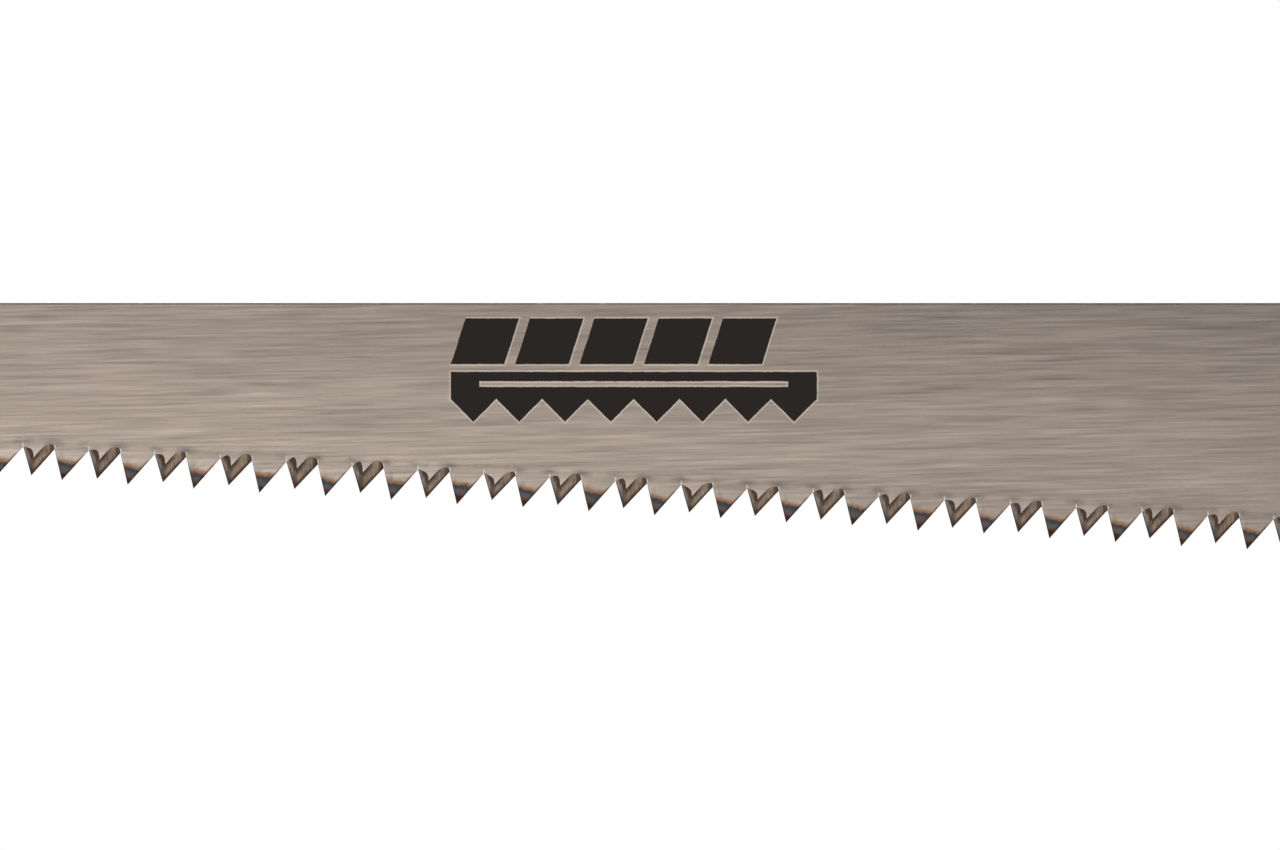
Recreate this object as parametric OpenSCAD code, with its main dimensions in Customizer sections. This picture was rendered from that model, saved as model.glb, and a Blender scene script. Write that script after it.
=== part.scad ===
// Compass saw with a replaceable tapered blade and a two-shell pistol handle.
// X runs from the toe of the blade to the handle, Z is up, Y is the thickness.
// The origin is on the straight back of the blade, where it meets the handle.

/* [Blade] */
// Length of blade in front of the handle
blade_len = 300; // [250:5:350]
// Thickness of the blade
blade_t = 1; // [0.8:0.1:1.2]
// Width from the back to the gullets, at the handle
heel_w = 24.1; // [22:0.1:25]
// Width lost per millimetre towards the toe
taper = 0.058; // [0.04:0.001:0.06]
// Pitch of one pair of teeth, at 8 teeth per inch
pair_pitch = 6.35; // [5:0.05:8]
// Number of pairs of teeth
pairs = 46; // [30:1:48]
// Depth of the shorter tooth of a pair
short_tooth = 2.65; // [2:0.05:3]
// Depth of the longer tooth of a pair
long_tooth = 3.05; // [2:0.05:3.2]
// Width of the ground face on the leading edge of a tooth
lead_facet = 0.55; // [0.3:0.05:0.7]
// Width of the ground face on the trailing edge of a tooth
trail_facet = 0.85; // [0.4:0.05:1]

/* [Blade seat] */
// Height of the tang
tang_h = 20; // [18:0.5:20]
// Length of the tang inside the handle
tang_len = 46; // [40:1:48]
// Distance of the clamp bolt behind the blade's shoulder
bolt_x = 24; // [20:1:28]
// Height of the clamp bolt, below the back of the blade
bolt_drop = 13.5; // [12:0.5:14]
// Thread diameter of the clamp bolt
bolt_d = 6; // [5:1:6]
// Sheet thickness of the folded blade holder
holder_t = 1.5; // [1:0.1:2]
// Free space on each side of the blade in its holder
blade_gap = 0.1; // [0.05:0.01:0.15]

/* [Handle] */
// Wall thickness of the shells
wall = 2.6; // [2:0.1:3]
// Thickness of the soft grip
grip_t = 1.5; // [1:0.1:2]
// Height of the waves between the fingers
finger_wave = 1.2; // [0:0.1:1.6]
// Bore radius of the hanging eyelet
eyelet_r = 3.5; // [3:0.1:4]
// Shank diameter of the handle screws
screw_d = 3; // [2.5:0.5:3]

/* [Clamp knob] */
// Diameter over the lobes
knob_d = 30; // [26:1:32]
// Height of the knob
knob_h = 11; // [10:1:14]
// Number of lobes
lobes = 6; // [5:1:8]

/* [Hidden] */
$fn = 64;
eps = 0.01;
touch = 0.05;

// ---- blade ----
tang_drop = bolt_drop - tang_h / 2;
pair_run = pair_pitch * cos(atan(taper));
teeth_end = -5.9;
teeth_start = teeth_end - pairs * pair_run;
// Places of the first tip, second gullet and second tip, from the start of a pair
short_tip = 0.118 * pair_run;
mid_gullet = 0.478 * pair_run;
long_tip = 0.59 * pair_run;
toe_round = 5;
slot_w = bolt_d + 0.6;
runout = 0.3;

// ---- clamp stack, as distances from the blade's middle ----
cheek_in = blade_t / 2 + blade_gap;
cheek_out = cheek_in + holder_t;
pad_y = 13.2;
spring_h = 0.9;
washer_h = 1.2;
washer_y = pad_y + spring_h;
knob_y = washer_y + washer_h;
insert_h = 8;
plate_h = 1.5;
plate_r = 9;
plate_y = 10.4;
head_y = plate_y + plate_h;
head_r = 7.4;
head_h = 3.4;
neck_len = 5;
neck_hole_r = 4.4;
bolt_r = bolt_d / 2;
bolt_end = knob_y + insert_h + 0.4;
pad_r = 12.5;
core_r = 9;

// ---- handle ----
// Each station across the handle: top or back point, bottom or front point,
// half of the thickness, and how square its section is
STATIONS = [
    [0.3, 3, 0.3, -30, 9.6, 3.2],
    [18, 5, 13, -31.6, 11.6, 3.2],
    [40, 6, 26, -34, 12.8, 3],
    [62, 5.2, 37, -38, 13.6, 2.8],
    [81, 1, 46, -43.5, 14, 2.6],
    [93, -9, 52.5, -51, 14, 2.5],
    [95.5, -23, 57.5, -59, 13.6, 2.4],
    [96, -39, 61.6, -66, 13.8, 2.3],
    [99.5, -55, 66, -76.5, 14.4, 2.3],
    [105, -73, 71.5, -89, 14.6, 2.3],
    [111, -91.5, 77.5, -104.5, 14.2, 2.4],
    [117, -109, 82.3, -121, 14.4, 2.6],
    [120.6, -118.5, 85, -130.5, 14, 2.6]];
t_end = len(STATIONS) - 1;
grip_from = 5;
grip_to = 10.05;
grip_gap = 0.01;
grip_proud = 0.2;
grip_clear = 0.15;
wide_step = 0.5;
fine_step = 0.18;
ledge = 0.02;
section_points = 13;
shell_fn = 32;
rib_from = [6.2, 8.4];
rib_span = 0.12;
rib_sink = 0.8;
// Raised ribs across the soft grip
grip_ribs = 12;
grip_rib_from = 5.7;
grip_rib_pitch = 0.34;
grip_rib_span = 0.15;
grip_rib_high = 0.35;
nose_wall_span = 0.14;
rib_rise = 0.7;
// Handle screws, as x, z and how far their bosses reach into the wall
SCREWS = [[54, -13.5, 12], [76, -8, 10.9], [53, -34, 10.9], [80.5, -58, 11], [91, -88, 11.4]];
screw_r = screw_d / 2;
screw_head_r = 3.1;
screw_head_h = 2.2;
seat_y = 5.5;
boss_r = 4.6;
boss_draft = 0.2;
boss_foot = 0.5;
eyelet_at = [97.4, -108.4];
eyelet_wall = 1;
eyelet_flange_r = 7;
eyelet_flange_y = 12.6;
eyelet_flange_t = 0.9;
core_to = 11;
eyelet_boss_r = 6.9;
pommel_boss_from = 0.4;
pommel_boss_r = 3.9;
web_t = 2.4;
web_reach = 12;
cap_len = 5;
cap_recess = 0.3;
pommel_screw_len = 12;
pommel_boss_len = 8.6;
cap_floor = 2;

function spline(a, b, c, d, u) =
    0.5 * (2 * b + (c - a) * u + (2 * a - 5 * b + 4 * c - d) * u * u
           + (3 * b - a - 3 * c + d) * u * u * u);
// One section across the handle at t, in stations
function section(t) =
    let (k = min(floor(t), t_end - 1), last = t_end)
    spline(STATIONS[max(k - 1, 0)], STATIONS[k], STATIONS[k + 1],
           STATIONS[min(k + 2, last)], t - k);
// Waves on the front of the grip, which fade out at both of its ends
function wave(t) =
    t < grip_from || t > grip_to ? 0
    : let (u = (t - grip_from) / (grip_to - grip_from))
      finger_wave * sin(180 * u) * cos(360 * 4 * u);
function power(v, e) = sign(v) * pow(abs(v), e);
// A point on the handle, angle 0 at the top or back and 180 at the bottom or front
function skin(t, angle, off) =
    let (s = section(t),
         top = [s[0], s[1]],
         low = [s[2], s[3]],
         mid = (top + low) / 2,
         half = norm(top - low) / 2,
         dir = (top - low) / (2 * half),
         e = 2 / s[5],
         front = max(0, -cos(angle)),
         along = (half + off + wave(t) * front) * power(cos(angle), e))
    [mid[0] + dir[0] * along, (s[4] + off) * power(sin(angle), e), mid[1] + dir[1] * along];

// A solid through rings that all have the same number of points
module loft(rings) {
    n = len(rings[0]);
    last = len(rings) - 1;
    sides = [for (r = [0 : last - 1], j = [0 : n - 1], half = [0, 1])
        let (a = r * n + j, b = r * n + (j + 1) % n)
        half == 0 ? [a, b, b + n] : [a, b + n, a + n]];
    polyhedron(
        points = [for (ring = rings) each ring],
        faces = concat(sides, [[for (j = [n - 1 : -1 : 0]) j]], [[for (j = [0 : n - 1]) last * n + j]]));
}

function arc(t, off) =
    [for (j = [0 : section_points - 1]) skin(t, 180 * j / (section_points - 1), off)];
function reversed(list) = [for (j = [len(list) - 1 : -1 : 0]) list[j]];

// A ring across one half of the handle at t, lowered by depth and closed at y = low
function half_ring(t, depth, low) =
    [for (p = arc(t, -depth)) [p[0], p[1] < eps ? low : max(p[1], low), p[2]]];
// Stations from a to b in even steps of at most step
function steps(a, b, step) =
    let (n = ceil((b - a) / step)) [for (k = [0 : n]) a + (b - a) * k / n];
// Each station of a list beside one depth
function at_depth(list, depth) = [for (t = list) [t, depth]];
nose_steps = steps(0, grip_from, wide_step);
grip_steps = steps(grip_from + ledge, grip_to - ledge, fine_step);
tail_steps = steps(grip_to, t_end, wide_step);

// One half of the handle through pairs of a station and a depth, closed at y = low
module half_skin(places, low) {
    loft([for (p = places) half_ring(p[0], p[1], low)]);
}
// A rib across one half of the handle from a to b, lowered by depth
module slice(a, b, depth, low) {
    hull() loft([for (t = [a, b]) half_ring(t, depth, low)]);
}

module along_y(x, z, from, to, r) {
    translate([x, from, z]) rotate([-90, 0, 0]) cylinder(r = r, h = to - from);
}

function gullet_z(x) = -heel_w - taper * x;
function tooth_point(i, run, depth) =
    let (x = teeth_start + i * pair_run + run) [x, gullet_z(x) - depth];

// Takes the ground face off one edge of a tooth, from its tip to just past the gullet
module ground_face(tip, gullet, width, side, trailing) {
    way = gullet - tip;
    inward = trailing ? -1 : 1;
    translate([tip[0], 0, tip[1]])
        rotate([0, atan2(way[0], way[1]), 0])
            translate([0, 0, -0.2])
                linear_extrude(norm(way) + 0.2 + runout)
                    polygon([[-inward * 0.02, -side * blade_t / 2],
                             [inward * width, side * (blade_t / 2 + eps)],
                             [-inward * 0.3, side * (blade_t / 2 + eps)]]);
}

module blade_outline() {
    toe = -blade_len;
    difference() {
        polygon(concat(
            [[tang_len, -tang_drop - 3], [tang_len - 3, -tang_drop], [0, -tang_drop], [0, 0]],
            [for (a = [90 : 15 : 180]) [toe + 2 * toe_round * (1 + cos(a)), -toe_round * (1 - sin(a))]],
            [[toe, gullet_z(toe)], tooth_point(0, 0, 0)],
            [for (i = [0 : pairs - 1]) each [
                tooth_point(i, short_tip, short_tooth),
                tooth_point(i, mid_gullet, 0.05),
                tooth_point(i, long_tip, long_tooth),
                tooth_point(i + 1, 0, 0)]],
            [[0, gullet_z(0)], [0, -tang_drop - tang_h],
             [tang_len - 3, -tang_drop - tang_h], [tang_len, -tang_drop - tang_h + 3]]));
        translate([bolt_x, -bolt_drop]) circle(r = slot_w / 2);
        translate([bolt_x, -bolt_drop - slot_w / 2]) square([tang_len, slot_w]);
    }
}

module blade() {
    color("darkgray")
        difference() {
            translate([0, blade_t / 2, 0]) rotate([90, 0, 0]) linear_extrude(blade_t) blade_outline();
            for (i = [0 : pairs - 1]) {
                ground_face(tooth_point(i, short_tip, short_tooth), tooth_point(i, 0, 0), lead_facet, -1, false);
                ground_face(tooth_point(i, short_tip, short_tooth), tooth_point(i, mid_gullet, 0.05),
                            trail_facet, -1, true);
                ground_face(tooth_point(i, long_tip, long_tooth), tooth_point(i, mid_gullet, 0.05),
                            lead_facet, 1, false);
                ground_face(tooth_point(i, long_tip, long_tooth), tooth_point(i + 1, 0, 0),
                            trail_facet, 1, true);
            }
        }
}

// Folded sheet over the tang, with ears behind it for the first handle screw
module blade_holder() {
    top = -tang_drop + blade_gap;
    low = -tang_drop - tang_h - 1;
    ear_end = SCREWS[0][0] + 7;
    color("silver")
        difference() {
            union() {
                translate([1, -cheek_out, low]) cube([tang_len - 1, 2 * cheek_out, top + holder_t - low]);
                translate([tang_len - 1, -cheek_out, -bolt_drop - 6])
                    cube([ear_end - tang_len + 1, 2 * cheek_out, 12]);
            }
            translate([0, -cheek_in, low - 1]) cube([ear_end + 1, 2 * cheek_in, top - low + 1]);
            along_y(bolt_x, -bolt_drop, -5, 5, bolt_r + 0.2);
            along_y(SCREWS[0][0], SCREWS[0][1], -5, 5, screw_r + 0.2);
        }
}

// The wall of one half of the handle, lowered where the soft grip lies
module half_wall() {
    difference() {
        half_skin(concat(at_depth(nose_steps, 0), at_depth(grip_steps, grip_t), at_depth(tail_steps, 0)), 0);
        half_skin(concat(
            at_depth(steps(nose_wall_span, grip_from - ledge, wide_step), wall),
            at_depth(grip_steps, grip_t + wall),
            at_depth(steps(grip_to + ledge, t_end + grip_gap, wide_step), wall)), -1);
    }
}

// A screw boss that widens a little towards the wall
module boss(x, z, from, to, r) {
    hull() {
        along_y(x, z, from, from + boss_foot, r);
        along_y(x, z, to - boss_foot, to, r + boss_draft);
    }
}
// What both shells share: wall, nose, ribs, and the core around the clamp bolt
module half_shell() {
    half_wall();
    for (t = rib_from) slice(t, t + rib_span, grip_t + rib_sink, rib_rise);
    boss(bolt_x, -bolt_drop, cheek_out + touch, core_to, core_r);
    boss(eyelet_at[0], eyelet_at[1], 0, eyelet_flange_y, eyelet_boss_r);
    at_pommel() intersection() {
        union() {
            translate([0, 0, pommel_boss_from]) cylinder(r = pommel_boss_r, h = pommel_boss_len);
            translate([-web_t / 2, 0, pommel_boss_from + 0.2])
                cube([web_t, web_reach, pommel_boss_len - 0.2 - pommel_boss_from]);
        }
        translate([-pommel_boss_r - 1, 0, 0]) cube([2 * pommel_boss_r + 2, web_reach, 2 * pommel_boss_len]);
    }
}

module shared_holes() {
    along_y(bolt_x, -bolt_drop, -1, 20, bolt_r + 0.3);
    along_y(eyelet_at[0], eyelet_at[1], -1, 20, eyelet_r + eyelet_wall + touch);
    along_y(eyelet_at[0], eyelet_at[1], eyelet_flange_y, 20, eyelet_flange_r + 0.15);
    at_pommel() translate([0, 0, -1]) cylinder(r = screw_r + touch, h = pommel_boss_len + 3);
    translate([-1, -1, -tang_drop - tang_h - 1.1]) cube([4, cheek_out + 1.05, tang_h + 1.1 + holder_t + 0.2]);
}

module screw_boss(at, from, r) {
    boss(at[0], at[1], from, at[2], r);
}

module shell_left() {
    $fn = shell_fn;
    color("firebrick")
        mirror([0, 1, 0])
            difference() {
                union() {
                    half_shell();
                    along_y(bolt_x, -bolt_drop, 9, pad_y, pad_r);
                    screw_boss(SCREWS[0], cheek_out + touch, boss_r);
                    for (k = [1 : 4]) screw_boss(SCREWS[k], 0, boss_r - 0.6);
                }
                shared_holes();
                for (at = SCREWS) along_y(at[0], at[1], -1, 10, screw_r + touch);
            }
}

module shell_right() {
    $fn = shell_fn;
    color("firebrick")
        difference() {
            union() {
                half_shell();
                screw_boss(SCREWS[0], cheek_out + touch, boss_r);
                for (k = [1 : 4]) screw_boss(SCREWS[k], 0, boss_r);
            }
            shared_holes();
            along_y(bolt_x, -bolt_drop, plate_y, 20, plate_r + 0.1);
            along_y(bolt_x, -bolt_drop, head_y - neck_len - 0.2, plate_y + 1, neck_hole_r);
            for (at = SCREWS) {
                along_y(at[0], at[1], -1, 20, screw_r + 0.15);
                along_y(at[0], at[1], seat_y, 20, screw_head_r + 0.3);
            }
        }
}

module half_grip() {
    inner = concat([grip_from - ledge], grip_steps, [grip_to + ledge]);
    difference() {
        union() {
            half_skin(at_depth(steps(grip_steps[0] + grip_gap, grip_to - ledge - grip_gap, fine_step),
                               -grip_proud), 0);
            for (k = [0 : grip_ribs - 1])
                let (t = grip_rib_from + k * grip_rib_pitch)
                    slice(t, t + grip_rib_span, -grip_proud - grip_rib_high, 0);
        }
        half_skin(at_depth(inner, grip_t - grip_clear), -1);
        children();
    }
}

module grip_left() {
    color("dimgray") mirror([0, 1, 0]) half_grip();
}

module grip_right() {
    color("dimgray")
        half_grip() {
            for (k = [3, 4]) along_y(SCREWS[k][0], SCREWS[k][1], 5, 20, screw_head_r + 0.8);
        }
}

// The middle of the open end of the grip, with +Z turned to point up the grip
module at_pommel() {
    s = STATIONS[t_end];
    translate([(s[0] + s[2]) / 2, 0, (s[1] + s[3]) / 2])
        rotate([0, atan2(s[0] - s[2], s[1] - s[3]) - 90, 0]) children();
}

// Domed cover over the open end of the grip
module pommel_cap() {
    s = STATIONS[t_end];
    lean = atan2(s[0] - s[2], s[1] - s[3]);
    down = [cos(lean), -sin(lean)];
    function ring(run, depth) =
        let (near = arc(t_end, -depth))
        [for (p = concat(near, [for (q = reversed(near)) if (q[1] > eps) [q[0], -q[1], q[2]]]))
            [p[0] + down[0] * run, p[1], p[2] + down[1] * run]];
    color("dimgray")
        difference() {
            loft([ring(touch, cap_recess), ring(cap_len * 0.5, cap_recess + 0.3),
                  ring(cap_len * 0.85, 1.8), ring(cap_len, 4.5)]);
            at_pommel() {
                translate([0, 0, -cap_len - 1]) cylinder(r = screw_r + 0.15, h = cap_len + 2);
                translate([0, 0, -cap_len - 1]) cylinder(r = screw_head_r + 0.3, h = cap_len + 1 - cap_floor);
            }
        }
}

module pommel_screw() {
    color("silver")
        at_pommel() translate([0, 0, -cap_floor - screw_head_h]) pan_screw(pommel_screw_len);
}

// Pan-head screw with a cross recess, pointing along +Z from its head
module pan_screw(length) {
    difference() {
        union() {
            cylinder(r = screw_r, h = length);
            cylinder(r1 = screw_head_r - 0.6, r2 = screw_head_r, h = 0.6);
            translate([0, 0, 0.6]) cylinder(r = screw_head_r, h = screw_head_h - 0.6);
        }
        for (a = [0, 90]) rotate([0, 0, a]) translate([-1.8, -0.35, -eps]) cube([3.6, 0.7, 1.3]);
    }
}

module handle_screw(k) {
    color("silver")
        translate([SCREWS[k][0], seat_y + screw_head_h, SCREWS[k][1]])
            rotate([90, 45, 0]) pan_screw(14);
}

module hang_eyelet() {
    outer = eyelet_r + eyelet_wall;
    end = eyelet_flange_y + eyelet_flange_t;
    color("goldenrod")
        translate([eyelet_at[0], 0, eyelet_at[1]])
            rotate([90, 0, 0])
                rotate_extrude()
                    polygon([[eyelet_r, -end], [eyelet_flange_r - 0.3, -end],
                             [eyelet_flange_r, -end + 0.3], [eyelet_flange_r, -eyelet_flange_y],
                             [outer, -eyelet_flange_y], [outer, eyelet_flange_y],
                             [eyelet_flange_r, eyelet_flange_y], [eyelet_flange_r, end - 0.3],
                             [eyelet_flange_r - 0.3, end], [eyelet_r, end]]);
}

// Coach bolt: domed head on the right, square neck, thread towards the knob
module clamp_bolt() {
    dome = (head_r * head_r + head_h * head_h) / (2 * head_h);
    color("silver") {
        translate([bolt_x, 0, -bolt_drop]) {
            intersection() {
                translate([0, head_y + head_h - dome, 0]) sphere(r = dome, $fn = 96);
                translate([0, head_y, 0]) rotate([-90, 0, 0]) cylinder(r = head_r, h = head_h + 1);
            }
            translate([-bolt_r, head_y - neck_len, -bolt_r]) cube([bolt_d, neck_len, bolt_d]);
            translate([0, -bolt_end + 0.6, 0]) rotate([-90, 0, 0]) cylinder(r = bolt_r, h = head_y + bolt_end - 0.6);
            translate([0, -bolt_end, 0]) rotate([-90, 0, 0]) cylinder(r1 = bolt_r - 0.6, r2 = bolt_r, h = 0.6);
        }
    }
}

module bolt_plate() {
    color("silver")
        difference() {
            along_y(bolt_x, -bolt_drop, plate_y, head_y, plate_r);
            translate([bolt_x - bolt_r - 0.1, plate_y - 1, -bolt_drop - bolt_r - 0.1])
                cube([bolt_d + 0.2, plate_h + 2, bolt_d + 0.2]);
        }
}

module ring_on_bolt(from, to, r) {
    difference() {
        along_y(bolt_x, -bolt_drop, -to, -from, r);
        along_y(bolt_x, -bolt_drop, -to - 1, -from + 1, bolt_r + 0.2);
    }
}

module spring_washer() {
    color("slategray")
        difference() {
            ring_on_bolt(pad_y, pad_y + spring_h, 6);
            translate([bolt_x + 2, -pad_y - 2, -bolt_drop - 0.4]) rotate([0, 25, 0]) cube([6, 3, 0.8]);
        }
}

module flat_washer() {
    color("silver") ring_on_bolt(washer_y, washer_y + washer_h, 9);
}

module knob_outline() {
    r = knob_d / 2;
    lobe = r * 0.3;
    difference() {
        circle(r = r);
        for (k = [0 : lobes - 1]) rotate(360 * (k + 0.5) / lobes) translate([r + lobe * 0.62, 0]) circle(r = lobe);
    }
}

module clamp_knob() {
    color("dimgray")
        translate([bolt_x, -knob_y, -bolt_drop])
            rotate([90, 0, 0])
                difference() {
                    union() {
                        cylinder(r = 9.5, h = 3);
                        translate([0, 0, 2]) linear_extrude(knob_h - 2) knob_outline();
                    }
                    translate([0, 0, -1]) cylinder(r = 6.05, h = insert_h + 1.02, $fn = 6);
                    translate([0, 0, -1]) cylinder(r = bolt_r + 0.4, h = knob_h);
                    translate([0, 0, knob_h - 1.2]) cylinder(r = 7.1, h = 2);
                }
}

module knob_insert() {
    color("goldenrod")
        translate([bolt_x, -knob_y, -bolt_drop])
            rotate([90, 0, 0])
                difference() {
                    cylinder(r = 6, h = insert_h, $fn = 6);
                    translate([0, 0, -1]) cylinder(r = bolt_r + touch, h = insert_h + 2);
                }
}

module knob_cap() {
    color("firebrick")
        translate([bolt_x, -knob_y - knob_h, -bolt_drop])
            rotate([90, 0, 0]) {
                translate([0, 0, -1.2]) cylinder(r = 7, h = 1.5);
                translate([0, 0, 0.3]) cylinder(r1 = 7, r2 = 6.2, h = 0.5);
            }
}

blade();
blade_holder();
shell_left();
shell_right();
grip_left();
grip_right();
pommel_cap();
pommel_screw();
hang_eyelet();
clamp_bolt();
bolt_plate();
spring_washer();
flat_washer();
clamp_knob();
knob_insert();
knob_cap();
handle_screw(0);  // handle_screw_1
handle_screw(1);  // handle_screw_2
handle_screw(2);  // handle_screw_3
handle_screw(3);  // handle_screw_4
handle_screw(4);  // handle_screw_5
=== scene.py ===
"""Looks of a compass saw: a tapered blade with ground, set and tempered teeth, clamped in a pistol
handle of two moulded shells with soft grips. Lengths below are in millimetres unless a line says so."""

import math

import bmesh
import bpy
import numpy as np
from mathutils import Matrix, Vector


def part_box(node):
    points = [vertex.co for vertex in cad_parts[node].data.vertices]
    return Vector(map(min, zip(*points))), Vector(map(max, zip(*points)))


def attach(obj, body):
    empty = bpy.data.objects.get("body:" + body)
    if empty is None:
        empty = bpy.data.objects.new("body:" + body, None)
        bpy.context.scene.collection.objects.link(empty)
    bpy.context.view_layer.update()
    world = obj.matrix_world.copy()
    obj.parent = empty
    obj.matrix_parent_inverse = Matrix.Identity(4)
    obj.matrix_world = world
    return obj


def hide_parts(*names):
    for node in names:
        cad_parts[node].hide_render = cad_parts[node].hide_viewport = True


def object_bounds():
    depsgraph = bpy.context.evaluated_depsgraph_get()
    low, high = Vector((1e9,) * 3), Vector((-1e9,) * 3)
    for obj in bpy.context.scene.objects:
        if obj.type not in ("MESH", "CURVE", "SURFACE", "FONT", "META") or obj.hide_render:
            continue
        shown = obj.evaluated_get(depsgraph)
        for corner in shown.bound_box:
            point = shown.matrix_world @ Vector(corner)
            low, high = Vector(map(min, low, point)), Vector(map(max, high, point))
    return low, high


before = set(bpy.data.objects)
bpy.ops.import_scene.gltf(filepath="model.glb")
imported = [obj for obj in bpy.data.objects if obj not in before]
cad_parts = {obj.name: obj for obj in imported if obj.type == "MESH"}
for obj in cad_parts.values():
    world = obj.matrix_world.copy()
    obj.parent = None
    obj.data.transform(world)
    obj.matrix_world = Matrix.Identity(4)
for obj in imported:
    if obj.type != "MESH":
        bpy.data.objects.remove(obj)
CAD_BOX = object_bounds()

bl_info = {
    "name": "Compass Saw",
    "version": (1, 0, 0),
    "blender": (4, 5, 0),
    "location": "View3D > Sidebar > Saw",
    "description": "Builds the blade, handle and fittings of a compass saw around its frame",
    "category": "Add Mesh",
}

MM = 0.001
SHARP = math.radians(32)
SIDES = {"left": -1, "right": 1}

# Each station across the handle: top or back point, bottom or front point, half of the
# thickness, and how square its section is
STATIONS = np.array([
    [0.3, 3, 0.3, -30, 9.6, 3.2],
    [18, 5, 13, -31.6, 11.6, 3.2],
    [40, 6, 26, -34, 12.8, 3],
    [62, 5.2, 37, -38, 13.6, 2.8],
    [81, 1, 46, -43.5, 14, 2.6],
    [93, -9, 52.5, -51, 14, 2.5],
    [95.5, -23, 57.5, -59, 13.6, 2.4],
    [96, -39, 61.6, -66, 13.8, 2.3],
    [99.5, -55, 66, -76.5, 14.4, 2.3],
    [105, -73, 71.5, -89, 14.6, 2.3],
    [111, -91.5, 77.5, -104.5, 14.2, 2.4],
    [117, -109, 82.3, -121, 14.4, 2.6],
    [120.6, -118.5, 85, -130.5, 14, 2.6],
])
T_END = len(STATIONS) - 1
# Where the soft grip begins and ends, and how far the nose's solid wall reaches, in stations
GRIP_FROM, GRIP_TO, NOSE_WALL = 5.0, 10.05, 0.14
# Back end of the teeth, broken edge of the blade's back, and size of its rounded toe
TEETH_END, CHAMFER, TOE_LONG, TOE_HIGH = -5.9, 0.13, 10, 5
# Gullet behind the short tooth and the two tips, as shares of a pair's run
SPLIT, SHORT_TIP, LONG_TIP = 0.478, 0.118, 0.112
# Holes for the handle screws' heads and the eyelet's barrel and flange
SCREW_WELL, GRIP_WELL, BARREL_HOLE, FLANGE_SEAT, FLANGE_T = 3.4, 3.9, 4.56, 7.15, 0.9
# Holes for the clamp bolt and its plate, and a distance that lies outside the handle
BOLT_HOLE, PLATE_SEAT, OUTSIDE = 3.3, 9.1, 20


def box_mm(node):
    """Lowest and highest corner of a CAD node in millimetres."""
    low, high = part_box(node)
    return np.array(low) / MM, np.array(high) / MM


def middle_mm(node):
    """Middle of a CAD node's box in millimetres."""
    return sum(box_mm(node)) / 2


BLADE_LOW, BLADE_HIGH = box_mm("blade")
HALF_T = (BLADE_HIGH[1] - BLADE_LOW[1]) / 2
KNOB_LOW, KNOB_HIGH = box_mm("clamp_knob")
BOLT_X = (KNOB_LOW[0] + KNOB_HIGH[0]) / 2
BOLT_Z = middle_mm("flat_washer")[2]


# ---- properties ----


def length(name, description, millimetres):
    """A property that holds a length."""
    return bpy.props.FloatProperty(name=name, description=description, default=millimetres * MM,
                                   unit="LENGTH")


def colour(name, description, default):
    """A property that holds a linear colour."""
    return bpy.props.FloatVectorProperty(name=name, description=description, default=default,
                                         subtype="COLOR", size=3, min=0, max=1)


class SawBlade(bpy.types.PropertyGroup):
    """Sizes of the blade and its teeth."""

    heel_width: length("Heel width", "From the back to the gullets at the handle", 24.1)
    taper: bpy.props.FloatProperty(
        name="Taper", description="Width lost per unit of length towards the toe", default=0.058)
    pair_pitch: length("Pair pitch", "Pitch of one pair of teeth", 6.35)
    pairs: bpy.props.IntProperty(name="Pairs", description="Pairs of teeth", default=46)
    short_tooth: length("Short tooth", "Depth of the shorter tooth of a pair", 2.65)
    long_tooth: length("Long tooth", "Depth of the longer tooth of a pair", 3.05)
    lead_facet: length("Leading facet", "Width of the ground face on the leading edge", 0.74)
    trail_facet: length("Trailing facet", "Width of the ground face on the trailing edge", 0.98)
    tooth_set: length("Set", "How far each tip is bent to its side", 0.24)


class SawHandle(bpy.types.PropertyGroup):
    """Sizes of the handle's skin."""

    wall: length("Wall", "Wall of the shells", 2.6)
    grip_thickness: length("Grip thickness", "Thickness of the soft grip", 1.5)
    finger_wave: length("Finger wave", "Height of the waves between the fingers", 1.2)
    rib_height: length("Rib height", "Height of the grip's anti-slip ribs", 0.36)


class SawColours(bpy.types.PropertyGroup):
    """Main colours of the saw, as linear values."""

    steel: colour("Blade steel", "Ground face of the blade", (0.566, 0.473, 0.405))
    ink: colour("Blade print", "Print on the blade", (0.011, 0.0080, 0.0068))
    shell: colour("Shell plastic", "Hard plastic of the handle", (0.36, 0.013, 0.010))
    grip: colour("Grip rubber", "Soft rubber of the grip", (0.011, 0.011, 0.012))


# ---- shader writing ----


def math_node(operation):
    """A method that adds a Math node, with the wire and whatever else it is given as its values."""
    return lambda self, *others: self.nodes.node("Math", {"operation": operation},
                                                 dict(enumerate((self, *others))))


class Wire:
    """One output in a node tree. Arithmetic on it adds Math nodes."""

    __add__ = __radd__ = math_node("ADD")
    __sub__ = math_node("SUBTRACT")
    __mul__ = __rmul__ = math_node("MULTIPLY")
    times_plus = math_node("MULTIPLY_ADD")
    above = math_node("GREATER_THAN")
    most = math_node("MAXIMUM")
    least = math_node("MINIMUM")
    fract = math_node("FRACT")
    size = math_node("ABSOLUTE")

    def __init__(self, nodes, socket):
        self.nodes, self.socket = nodes, socket

    def __rsub__(self, other):
        return self.times_plus(-1.0, other)

    def swing(self, reach):
        """A value from 0 to 1 moved to lie half of reach to each side of 0."""
        return (self - 0.5) * reach

    def between(self, low, high):
        """1 above high and 0 below low, with a straight ramp between."""
        return self.nodes.node("MapRange", {}, {"Value": self, "From Min": low, "From Max": high})

    def parts(self):
        """The three parts of a vector."""
        first = self.nodes.node("SeparateXYZ", {}, {0: self})
        return [Wire(self.nodes, out) for out in first.socket.node.outputs]


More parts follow.
